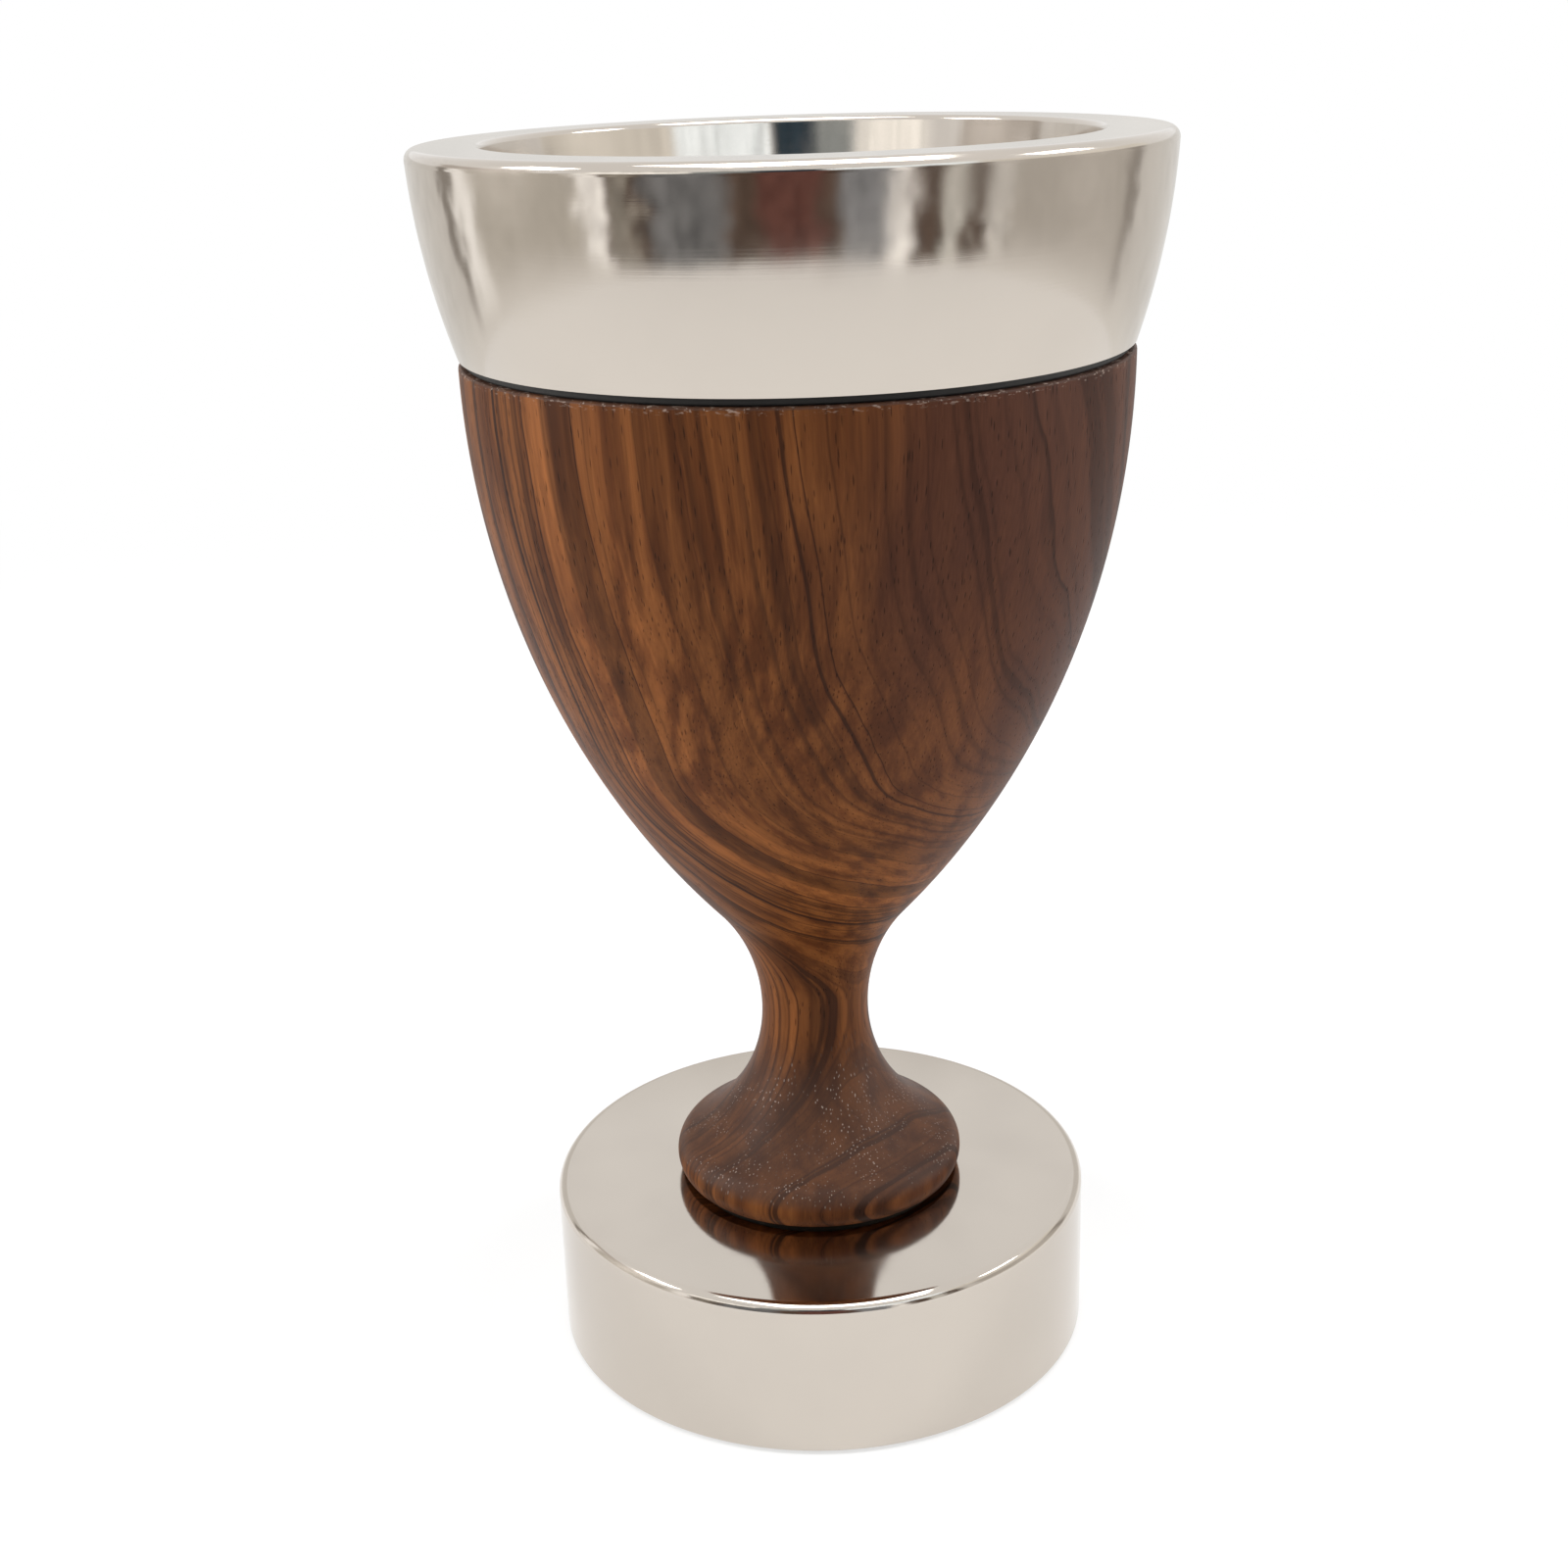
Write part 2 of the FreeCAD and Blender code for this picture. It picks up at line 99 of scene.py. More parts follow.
class ChaliceSizes(bpy.types.PropertyGroup):
    """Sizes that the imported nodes' boxes don't give."""

    facets: bpy.props.IntProperty(
        name="Facets", description="Flat facets round each turned piece", default=288, min=24
    )
    flatness: length("Flatness", "How far a facet may lie inside a curved outline", 0.004)
    soft_edge: length("Soft edge", "Rounding of edges that are only broken, not shaped", 0.15)
    foot_round: length("Foot round", "Radius of the walnut foot's rim", 4.6)
    foot_widest_rise: length("Foot widest rise", "Widest point above the foot's underside", 2.6)
    waist_radius: length("Waist radius", "Stem at its thinnest", 9.0)
    waist_rise: length("Waist rise", "Thinnest point above the foot's underside", 29.5)
    neck_radius: length("Neck radius", "Hollow between the stem and the bowl", 29.0)
    walnut_edge: length("Walnut edge", "Rounding of the walnut's top edge", 0.5)
    walnut_bore: length("Walnut bore", "Radius of the hole for the tie rod", 3.5)
    socket_gap: length("Socket gap", "Between the cup and its walnut socket", 0.8)
    bush_gap: length("Bush gap", "Round the brass bush's body", 0.1)
    bush_recess_gap: length("Bush recess gap", "Round the brass bush's flange", 0.8)
    bush_flange: length("Bush flange", "Thickness of the bush's flange", 2.5)
    bush_thread: length("Bush thread", "Length of the bush below its bore", 10.0)
    bush_wall: length("Bush wall", "Brass round the spigot's bore", 3.0)
    mouth_radius: length("Mouth radius", "Inside of the drinking bowl", 46.0)
    mouth_cone: length("Mouth cone", "Height of the straight leaning wall under the rim", 20.0)
    mouth_lean: bpy.props.FloatProperty(
        name="Mouth lean",
        description="How far that wall leans outwards",
        default=math.radians(8),
        subtype="ANGLE",
    )
    bowl_wall: length("Bowl wall", "Thickness of the drinking bowl", 1.0)
    brim_outer_round: length("Brim outer round", "Rounding of the rim's outer edge", 1.6)
    brim_inner_round: length("Brim inner round", "Rounding of the mouth's edge", 0.9)
    band_wall: length("Band wall", "Thickness of the outer band", 1.2)
    band_crown: length("Band crown", "Bulge of the outer band beyond a straight cone", 0.95)
    spigot_radius: length("Spigot radius", "Pin under the cup", 5.0)
    spigot_flange: length("Spigot flange", "Thickness of the flange at its edge below the bowl", 3.0)
    groove_depth: length("Groove depth", "O-ring groove in the spigot", 2.0)
    groove_gap: length("Groove gap", "Beside the O-ring in its groove", 0.2)
    spigot_chamfer: length("Spigot chamfer", "Lead-in of the spigot and of its bush", 0.8)
    running_gap: length("Running gap", "Between the spigot and its bush, and in threads", 0.05)
    base_wall: length("Base wall", "Thickness of the hollow base", 2.5)
    base_edge: length("Base edge", "Rounding of the base's top edge", 1.8)
    base_lip: length("Base lip", "Chamfer of the base's lower edge", 0.4)
    boss_bore: length("Boss bore", "Radius of the screw holes in the base", 1.55)
    boss_wall: length("Boss wall", "Metal round each screw hole", 2.45)
    boss_depth: length("Boss depth", "Depth of each screw hole", 10.5)
    rod_radius: length("Rod radius", "Tie rod through the stem", 3.0)
    rod_gap: length("Rod gap", "Round the tie rod where it passes through the base", 0.3)
    gasket_gap: length("Gasket gap", "Between the gasket and the drinking bowl", 1.2)


class ChaliceFinish(bpy.types.PropertyGroup):
    """Colours, and how polished each surface is."""

    walnut_light: colour("Walnut light", "Wood between the growth lines", 0.188, 0.064, 0.017)
    walnut_mid: colour("Walnut middle", "Most of the wood", 0.080, 0.024, 0.0065)
    walnut_dark: colour("Walnut dark", "Growth lines", 0.019, 0.0065, 0.0035)
    # Plum is also painted shade on the lower bowl, stem and foot.
    walnut_plum: colour("Walnut plum", "Cooler heartwood that drifts through the wood", 0.058, 0.021, 0.012)
    # Walnut grey is mixed in where surfaces face upwards, most of all on the foot's top.
    walnut_grey: colour("Walnut grey", "End grain of the foot", 0.066, 0.039, 0.030)
    polish_pale: colour("Polish residue", "Dried polish in open pores", 0.40, 0.31, 0.26)
    ring_width: length("Ring width", "Average distance between growth lines", 3.7)
    heart_left: length("Heart left", "Heart of the tree to the left of the axis, at the cup", 62)
    heart_low: length("Heart low", "The same, at the stem", 22)
    heart_back: length("Heart back", "Heart of the tree behind the axis", 20)
    plum_from: length("Plum from", "Distance from the heart where the wood turns cooler", 120)
    # The heart's bend also darkens the wood below it towards plum: painted shade on the lower bowl, stem
    # and foot.
    heart_bend_high: length("Heart bend top", "Height where the heart starts to bend", 112)
    heart_bend_low: length("Heart bend foot", "Height where it stops bending", 62)
    nickel: colour("Nickel", "Polished nickel", 0.590, 0.535, 0.475)
    nickel_roughness: share("Nickel roughness", "Roughness of the polished metal", 0.10)
    nickel_grain: share("Nickel grain", "How far polishing marks smear reflections across them", 0.60)
    # On the gasket and the foot washer the near-black rubber is partly painted shadow in the joints.
    rubber: colour("Rubber", "Gaskets and O-ring", 0.012, 0.011, 0.010)
    brass: colour("Brass", "Bush in the walnut", 0.72, 0.50, 0.22)
    steel: colour("Steel", "Plated fastenings", 0.56, 0.57, 0.58)
    iron: colour("Iron", "Ballast", 0.050, 0.048, 0.048)
    felt: colour("Felt", "Pad under the base", 0.020, 0.065, 0.040)


class ChaliceStage(bpy.types.PropertyGroup):
    """Camera, floor and light."""

    lens: bpy.props.FloatProperty(
        name="Lens", description="Focal length in millimetres on a 36 mm sensor", default=49.5
    )
    distance: length("Distance", "Camera in front of the chalice's axis", 332.6)
    height: length("Height", "Camera above the floor", 218.3)
    pitch: bpy.props.FloatProperty(
        name="Pitch", description="Camera tipped down", default=0.348, subtype="ANGLE"
    )
    yaw: bpy.props.FloatProperty(
        name="Yaw", description="Camera turned to the left", default=0.0123, subtype="ANGLE"
    )
    roll: bpy.props.FloatProperty(
        name="Roll", description="Camera leaned to the right", default=0.032, subtype="ANGLE"
    )
    floor_radius: length("Floor radius", "Size of the floor", 4000)
    floor: colour("Floor", "Pale floor", 0.90, 0.90, 0.90)
    floor_glow: share("Floor glow", "How much of the floor near the chalice looks plain white", 0.62)
    fill: bpy.props.FloatProperty(
        name="Fill", description="Strength of the light from all round", default=0.50
    )
    # The wall glows and only glossy rays see it: its panels are painted reflections in the metal.
    wall_radius: length("Wall radius", "Painted wall round the set, which only polished metal sees", 470)
    wall_height: length("Wall height", "Height of that wall", 440)


def settings():
    return bpy.context.scene.chalice_sizes


def finish():
    return bpy.context.scene.chalice_finish


# ---- turned meshes ------------------------------------------------------------------------------
class Outline:
    """Half section of a turned piece, drawn counter-clockwise as (radius, height).

    Each step keeps the true normals at its two ends, so curves shade as curves and flats as flats.
    A curve starts where the step before it ended.
    """

    def __init__(self, radius, height):
        self.at = Vector((radius, height))
        self.steps = []

    def line(self, radius, height):
        end = Vector((radius, height))
        along = (end - self.at).normalized()
        normal = Vector((along.y, -along.x))
        self.steps.append((self.at, end, normal, normal))
        self.at = end

    def ellipse(self, centre, half_width, half_height, first, last):
        """From one angle to another about a centre. Clockwise angles make a hollow."""
        side = 1 if last > first else -1
        sharpest = 2 * math.acos(1 - settings().flatness / max(half_width, half_height))
        count = max(4, math.ceil(abs(last - first) / sharpest))
        ends = []
        for i in range(count + 1):
            angle = first + (last - first) * i / count
            reach = Vector((math.cos(angle), math.sin(angle)))
            point = centre + Vector((half_width * reach.x, half_height * reach.y))
            normal = Vector((reach.x * half_height, reach.y * half_width)).normalized() * side
            ends.append((point, normal))
        ends[0] = (self.at, ends[0][1])
        for (start, start_normal), (end, end_normal) in zip(ends, ends[1:]):
            self.steps.append((start, end, start_normal, end_normal))
        self.at = ends[-1][0]

    def arc(self, centre, end):
        """The short way round a centre."""
        start = self.at - centre
        reach = end - centre
        first = math.atan2(start.y, start.x)
        sweep = math.atan2(start.x * reach.y - start.y * reach.x, start.dot(reach))
        self.ellipse(centre, start.length, start.length, first, first + sweep)


def rounded(*corners):
    """A closed outline of straight sides. Each corner is (radius, height, rounding)."""
    bends = []
    for i, (radius, height, rounding) in enumerate(corners):
        point = Vector((radius, height))
        back = (Vector(corners[i - 1][:2]) - point).normalized()
        onward = (Vector(corners[(i + 1) % len(corners)][:2]) - point).normalized()
        half = back.angle(onward) / 2
        reach = rounding / math.tan(half)
        centre = point + (back + onward).normalized() * (rounding / math.sin(half))
        bends.append((point + back * reach, centre, point + onward * reach, rounding))
    outline = Outline(*bends[0][2])
    for arrive, centre, leave, rounding in bends[1:] + bends[:1]:
        outline.line(*arrive)
        if rounding:
            outline.arc(centre, leave)
    return outline


def turned(name, outline, centre=(0, 0)):
    """A mesh object from an outline turned about the Z axis, or about another upright axis."""
    facets = settings().facets
    turns = [2 * math.pi * i / facets for i in range(facets)]
    around = [(math.cos(turn), math.sin(turn)) for turn in turns]
    verts, faces, normals = [], [], []
    rings = {}

    def ring(point):
        """The vertices of one turned point: one on the axis, or one for each facet."""
        key = (round(point.x, 8), round(point.y, 8))
        if key not in rings:
            first = len(verts)
            if key[0] == 0:
                verts.append((centre[0], centre[1], point.y))
                rings[key] = [first] * (facets + 1)
            else:
                verts.extend((centre[0] + point.x * c, centre[1] + point.x * s, point.y) for c, s in around)
                rings[key] = [*range(first, first + facets), first]
        return rings[key]

    for start, end, start_normal, end_normal in outline.steps:
        low, high = ring(start), ring(end)
        for i in range(facets):
            here, there = around[i], around[(i + 1) % facets]
            loop = [(low[i], start_normal, here), (low[i + 1], start_normal, there)]
            loop += [(high[i + 1], end_normal, there), (high[i], end_normal, here)]
            if low[i] == low[i + 1]:
                loop.pop(0)
            elif high[i] == high[i + 1]:
                loop.pop(3)
            faces.append([vertex for vertex, _, _ in loop])
            normals.extend((n.x * c, n.x * s, n.y) for _, n, (c, s) in loop)
    mesh = bpy.data.meshes.new(name)
    mesh.from_pydata(verts, [], faces)
    mesh.polygons.foreach_set("use_smooth", [True] * len(faces))
    mesh.normals_split_custom_set(normals)
    piece = bpy.data.objects.new(name, mesh)
    bpy.context.scene.collection.objects.link(piece)
    return piece


def join_node(piece, material, node):
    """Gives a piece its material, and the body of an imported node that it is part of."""
    piece.data.materials.append(material)
    record = frame["record"]
    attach(piece, next(b for b, nodes in record["behaviour"]["bodies"].items() if node in nodes))
    return piece


def place(piece, material, node):
    """As join_node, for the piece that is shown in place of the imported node."""
    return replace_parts(join_node(piece, material, node), node)


def span(node):
    """(outer radius, bottom, top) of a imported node."""
    low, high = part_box(node)
    return high.x, low.z, high.z


# ---- shading ------------------------------------------------------------------------------------
class Signal:
    """A number at one socket of a material. Arithmetic on signals adds Math nodes."""

    def __init__(self, shader, socket):
        self.shader = shader
        self.socket = socket

    def __add__(self, other):
        return self.shader.math("ADD", self, other)

    def __sub__(self, other):
        return self.shader.math("SUBTRACT", self, other)

    def __rsub__(self, other):
        return self.shader.math("SUBTRACT", other, self)

    def __mul__(self, other):
        return self.shader.math("MULTIPLY", self, other)

    def __truediv__(self, other):
        return self.shader.math("DIVIDE", self, other)

    __radd__ = __add__
    __rmul__ = __mul__


class Shader:
    """A material, or the world, under construction."""

    def __init__(self, owner):
        self.owner = owner
        owner.use_nodes = True
        self.tree = owner.node_tree
        self.tree.nodes.clear()

    def add(self, kind, options=None, inputs=None, output=0):
        """Adds a node: its options first, then its sockets' values and links. Returns one output."""
        node = self.tree.nodes.new("ShaderNode" + kind)
        for key, value in (options or {}).items():
            if key == "stops":
                self.set_stops(node.color_ramp, value)
            else:
                setattr(node, key, value)
        for key, value in (inputs or {}).items():
            if isinstance(value, Signal):
                self.tree.links.new(value.socket, node.inputs[key])
            else:
                node.inputs[key].default_value = value
        return Signal(self, node.outputs[output]) if len(node.outputs) else None

    @staticmethod
    def set_stops(ramp, stops):
        """Each stop is (position, grey) or (position, red, green, blue)."""
        ramp.interpolation = "EASE"
        while len(ramp.elements) < len(stops):
            ramp.elements.new(0.5)
        for element, (position, *tone) in zip(ramp.elements, stops):
            element.position = position
            element.color = (*tone, 1) if len(tone) == 3 else (*tone * 3, 1)

    def math(self, operation, *values):
        return self.add("Math", {"operation": operation}, dict(enumerate(values)))

    def vector(self, operation, *values, output=0):
        return self.add("VectorMath", {"operation": operation}, dict(enumerate(values)), output)

    def times(self, vector, by):
        return self.vector("MULTIPLY", vector, by)

    def parts(self, vector):
        return [self.add("SeparateXYZ", None, {0: vector}, axis) for axis in range(3)]

    def noise(self, vector, scale=1.0, detail=3.0, roughness=0.5, output="Fac"):
        sockets = {"Vector": vector, "Scale": scale, "Detail": detail, "Roughness": roughness}
        return self.add("TexNoise", None, sockets, output)

    def rise(self, value, start, end):
        """0 below start, 1 above end, and smooth between."""
        sockets = {"Value": value, "From Min": start, "From Max": end}
        return self.add("MapRange", {"interpolation_type": "SMOOTHSTEP"}, sockets)

    def ramp(self, value, *stops):
        return self.add("ValToRGB", {"stops": stops}, {"Fac": value})

    def mix(self, factor, a, b):
        """From colour a to colour b."""
        colours = {6: a, 7: b}
        for key, value in colours.items():
            if not isinstance(value, Signal):
                colours[key] = (*value[:3], 1)
        return self.add("Mix", {"data_type": "RGBA"}, {0: factor, **colours}, 2)

    def shade(self, value, amount):
        """A colour made darker or lighter by an amount that varies."""
        if not isinstance(value, Signal):
            value = (*value[:3], 1)
        grey = self.add("CombineColor", None, {0: amount, 1: amount, 2: amount})
        options = {"data_type": "RGBA", "blend_type": "MULTIPLY"}
        return self.add("Mix", options, {0: 1.0, 6: value, 7: grey}, 2)

    def bump(self, height, distance, strength=1.0):
        """A surface normal from a height of 0 to 1 that stands for a real distance."""
        return self.add("Bump", None, {"Height": height, "Distance": distance, "Strength": strength})

    def surface(self, **sockets):
        """Ends the material with a principled surface, its sockets named in lower case."""
        named = {key.replace("_", " ").title().replace("Ior", "IOR"): v for key, v in sockets.items()}
        if not isinstance(named["Base Color"], Signal):
            named["Base Color"] = (*named["Base Color"][:3], 1)
        shader = self.add("BsdfPrincipled", None, named)
        self.add("OutputMaterial", None, {"Surface": shader})
        return self.owner


def new_material(name):
    return Shader(bpy.data.materials.new(name))


def millimetre_place(shader):
    """Where the surface is, in millimetres."""
    here = shader.add("TexCoord", None, None, "Object")
    return shader.times(here, (1 / MM, 1 / MM, 1 / MM))


def lathe_lines(shader, here, fineness):
    """Fine marks that run round a turned surface, from 0 to 1."""
    x, y, z = shader.parts(here)
    radius = shader.math("SQRT", x * x + y * y)
    slow = shader.times(here, (0.02, 0.02, 0))
    along = shader.add("CombineXYZ", None, {2: (radius + z) * fineness})
    return shader.noise(shader.vector("ADD", slow, along), 1.0, 4.0, 0.65)


def walnut_material():
    """Turned walnut: growth rings cut by the turned form, fibres, pores and dried polish."""
    look = finish()
    shader = new_material("walnut_turned")
    here = millimetre_place(shader)
    x, y, height = shader.parts(here)

    # The heart of the tree stood behind the left of the cup, and bends towards the stem lower down. That
    # bend also pushes the lower wood towards plum, which is painted shade.
    bend = shader.rise(height, look.heart_bend_high / MM, look.heart_bend_low / MM)
    bend = bend * ((look.heart_left - look.heart_low) / MM)
    heart = bend - look.heart_left / MM
    sway = shader.noise(shader.times(here, (0.017, 0.017, 0.009)), 1.0, 2.0, 0.5, "Color")
    ripple = shader.noise(shader.times(here, (0.11, 0.11, 0.03)), 1.0, 3.0, 0.55, "Color")
    sway_x, sway_y, _ = shader.parts(shader.vector("SUBTRACT", sway, (0.5, 0.5, 0.5)))
    ripple_x, ripple_y, _ = shader.parts(shader.vector("SUBTRACT", ripple, (0.5, 0.5, 0.5)))
    across = x - heart + sway_x * 15 + ripple_x * 1.5
    deep = y - look.heart_back / MM + sway_y * 15 + ripple_y * 1.5
    age = shader.math("SQRT", across * across + deep * deep)
    growth = age / (look.ring_width / MM)
    uneven = shader.add("TexNoise", {"noise_dimensions": "1D"}, {"W": growth * 0.33, "Detail": 2.0})
    growth = growth + uneven * 2.6
    year = shader.math("FLOOR", growth)
    season = shader.math("FRACT", growth)
    chance = shader.add("TexWhiteNoise", {"noise_dimensions": "1D"}, {"W": year})
    darkness = ((0, 0.30), (0.10, 0.06), (0.42, 0), (0.64, 0.30), (0.82, 0.92), (0.92, 0.92), (1, 0.30))
    late = shader.ramp(season, *darkness) * (0.15 + chance * 0.90)

    grain = shader.add("CombineXYZ", None, {0: across, 1: deep, 2: height})
    fibre = shader.noise(shader.times(grain, (2.6, 2.6, 0.06)), 1.0, 4.0, 0.6)
    streak = shader.noise(shader.times(grain, (0.30, 0.30, 0.012)), 1.0, 4.0, 0.55)
    drift = shader.noise(shader.times(grain, (0.020, 0.020, 0.008)), 1.0, 2.0, 0.5)

    decade = shader.add("TexNoise", {"noise_dimensions": "1D"}, {"W": growth * 0.15, "Detail": 1.0})
    body = shader.mix(shader.rise(streak, 0.32, 0.66), look.walnut_mid, look.walnut_light)
    body = shader.shade(body, 0.42 + decade)
    # Plum drifts through the wood at random, and the heart's bend adds more of it lower down: painted shade
    # on the lower bowl, stem and foot.
    plum_start = look.plum_from / MM
    plum = shader.rise(age + drift * 60 + bend, plum_start, plum_start + 22)
    body = shader.mix(plum * 0.9, body, look.walnut_plum)
    body = shader.mix(late, body, look.walnut_dark)
    body = shader.shade(body, 0.62 + fibre * 0.76)

    cells = {"Vector": shader.times(grain, (1.9, 1.9, 0.22)), "Scale": 1.0, "Randomness": 1.0}
    nearest = shader.add("TexVoronoi", {"feature": "F1"}, cells, "Distance")
    crowd = shader.noise(shader.times(grain, (0.25, 0.25, 0.03)), 1.0, 2.0)
    pore = 1 - shader.rise(nearest, 0.10, 0.10 + crowd * 0.30)
    body = shader.shade(body, 1 - pore * 0.55)

    # Surfaces that face upwards, most of all the foot's top, are mixed towards walnut grey.
    facing = shader.parts(shader.add("NewGeometry", None, None, "Normal"))[2]
    upward = shader.rise(facing, 0.05, 0.50)
    body = shader.mix(upward * 0.6, body, look.walnut_grey)
    patch = shader.noise(shader.times(here, (0.16, 0.16, 0.16)), 1.0, 3.0)
    residue = pore * upward * shader.rise(patch, 0.40, 0.60)
    body = shader.mix(residue * 0.8, body, look.polish_pale)

    _, _, top = span("walnut_body")
    near_edge = shader.rise(height, top / MM - 1.3, top / MM - 0.2)
    nick = shader.noise(shader.times(here, (0.9, 0.9, 2.4)), 1.0, 3.0, 0.6)
    scuff = near_edge * shader.rise(nick, 0.56, 0.66)
    body = shader.mix(scuff * 0.6, body, look.polish_pale)

    relief = fibre * 0.35 + (1 - pore) * 0.65
    return shader.surface(
        base_color=body,
        roughness=0.40 + fibre * 0.14 + pore * 0.15 + scuff * 0.2,
        specular_ior_level=0.07,
        coat_weight=0.02 - scuff * 0.02,
        coat_roughness=0.30,
        normal=shader.bump(relief, 0.00005, 0.7),
    )


def nickel_material(name, polish, smear):
    """Polished nickel plate with fine marks round the turning axis and faint handling haze."""
    look = finish()
    shader = new_material(name)
    here = millimetre_place(shader)
    marks = lathe_lines(shader, here, 2.2)
    fine = lathe_lines(shader, here, 9.0)
    haze = shader.noise(here, 0.045, 4.0, 0.55)
    tint = shader.shade(look.nickel, 0.955 + haze * 0.09)
    return shader.surface(
        base_color=tint,
        metallic=1.0,
        roughness=polish * 0.55 + marks * polish * 0.45 + shader.rise(haze, 0.42, 0.75) * polish * 0.9,
        anisotropic=smear,
        anisotropic_rotation=0.25,
        normal=shader.bump(marks * 0.5 + fine * 0.5, 0.0000035, 1.0),
    )


def rubber_material():
    look = finish()
    shader = new_material("rubber_black")
    grain = shader.noise(millimetre_place(shader), 3.0, 3.0)
    return shader.surface(
        base_color=shader.shade(look.rubber, 0.8 + grain * 0.4),
        roughness=0.62 + grain * 0.2,
        normal=shader.bump(grain, 0.00002, 0.5),
    )


def machined_material(name, tint, roughness, fineness):
    """Plain turned or rolled metal with tool marks."""
    shader = new_material(name)
    here = millimetre_place(shader)
    marks = lathe_lines(shader, here, fineness)
    stain = shader.noise(here, 0.3, 3.0)
    return shader.surface(
        base_color=shader.shade(tint, 0.8 + stain * 0.4),
        metallic=1.0,
        roughness=roughness + marks * 0.15,
        normal=shader.bump(marks, 0.00001, 0.6),
    )


def iron_material():
    shader = new_material("iron_cast")
    here = millimetre_place(shader)
    pits = shader.noise(here, 1.1, 5.0, 0.65)
    return shader.surface(
        base_color=shader.shade(finish().iron, 0.7 + pits * 0.6),
        metallic=0.6,
        roughness=0.55 + pits * 0.25,
        normal=shader.bump(pits, 0.0001, 0.8),
    )


def felt_material():
    look = finish()
    shader = new_material("felt_pressed")
    here = millimetre_place(shader)
    hair = shader.noise(shader.times(here, (2.2, 2.2, 2.2)), 1.0, 5.0, 0.7)
    tuft = shader.noise(here, 0.35, 3.0)
    return shader.surface(
        base_color=shader.shade(look.felt, 0.55 + hair * 0.6 + tuft * 0.3),
        roughness=0.92,
        sheen_weight=0.5,
        sheen_roughness=0.5,
        normal=shader.bump(hair, 0.0002, 0.8),
    )


# ---- pieces -------------------------------------------------------------------------------------
class BowlCurve:
    """The rounded inside of the drinking bowl, or the surface that far outside it.

    It is the lower part of an ellipse, centred so high that it meets the mouth's cone smoothly.
    """

    def __init__(self, offset):
        size = settings()
        _, bottom, rim = span("drinking_bowl")
        slope = math.tan(size.mouth_lean)
        self.spring = rim - size.mouth_cone
        depth = self.spring - bottom - size.bowl_wall
        radius = size.mouth_radius - slope * size.mouth_cone
        rise = slope * depth**2 / (radius - 2 * slope * depth)
        self.centre = Vector((0, self.spring + rise))
        self.half_height = depth + rise + offset
        self.half_width = radius / math.sqrt(1 - (rise / (depth + rise)) ** 2) + offset

    def angle_at_radius(self, radius):
        return -math.acos(radius / self.half_width)

    def angle_at_height(self, height):
        return math.asin((height - self.centre.y) / self.half_height)

    def point(self, angle):
        reach = Vector((self.half_width * math.cos(angle), self.half_height * math.sin(angle)))
        return self.centre + reach

    def draw(self, outline, first, last):
        outline.ellipse(self.centre, self.half_width, self.half_height, first, last)


class CHALICE_OT_walnut(bpy.types.Operator):
    """Turn the walnut bowl, stem and foot with the socket for the cup"""

    bl_idname = "chalice.walnut"
    bl_label = "Walnut stand"

    def execute(self, context):
        size = settings()
        top_radius, bottom, top = span("walnut_body")
        foot = Vector((self.foot_radius() - size.foot_round, bottom + size.foot_widest_rise))
        waist = Vector((size.waist_radius, bottom + size.waist_rise))
        reach = waist - foot
        flare_radius = (reach.length_squared - size.foot_round**2) / (2 * (size.foot_round - reach.x))
        flare = waist + Vector((flare_radius, 0))
        neck = waist + Vector((size.neck_radius, 0))
        across = neck.x - top_radius
        up = top - waist.y
        bowl_radius = (across**2 + up**2 - size.neck_radius**2) / (2 * (top_radius - waist.x))
        bowl = Vector((top_radius - bowl_radius, top))

        edge = size.walnut_edge
        slope = math.asin(edge / (bowl_radius - edge))
        edge_start = bowl + Vector((math.cos(slope), -math.sin(slope))) * bowl_radius
        edge_centre = bowl + Vector((math.cos(slope), -math.sin(slope))) * (bowl_radius - edge)

        foot_edge = foot.x + math.sqrt(size.foot_round**2 - size.foot_widest_rise**2)
        bush_flange, bush_bottom, bush_top = span("socket_bush")
        recess = bush_flange + size.bush_recess_gap
        bush_hole = size.spigot_radius + size.running_gap + size.bush_wall + size.bush_gap
        socket = BowlCurve(size.bowl_wall + size.socket_gap)
        lip = socket.angle_at_height(top - edge)
        lip_radius = socket.point(lip).x

        outline = Outline(size.walnut_bore, bottom)
        outline.line(foot_edge, bottom)
        outline.arc(foot, foot + (flare - foot).normalized() * size.foot_round)
        outline.arc(flare, waist)
        outline.arc(neck, bowl + (neck - bowl).normalized() * bowl_radius)
        outline.arc(bowl, edge_start)
        outline.arc(edge_centre, edge_centre + Vector((0, edge)))
        outline.line(lip_radius + edge, outline.at.y)
        outline.arc(Vector((lip_radius + edge, top - edge)), Vector((lip_radius, top - edge)))
        socket.draw(outline, lip, socket.angle_at_radius(recess))
        outline.line(recess, bush_top - size.bush_flange)
        outline.line(bush_hole, bush_top - size.bush_flange)
        outline.line(bush_hole, bush_bottom)
        outline.line(size.walnut_bore, bush_bottom)
        outline.line(size.walnut_bore, bottom)
        place(turned("walnut_stand", outline), walnut_material(), "walnut_body")
        return {"FINISHED"}

    @staticmethod
    def foot_radius():
        """Radius of the foot where it is widest, in the lowest tenth of the walnut."""
        _, bottom, top = span("walnut_body")
        limit = bottom + (top - bottom) * 0.1
        points = [vertex.co for vertex in frame["nodes"]["walnut_body"].data.vertices]
        return max(math.hypot(p.x, p.y) for p in points if p.z < limit)


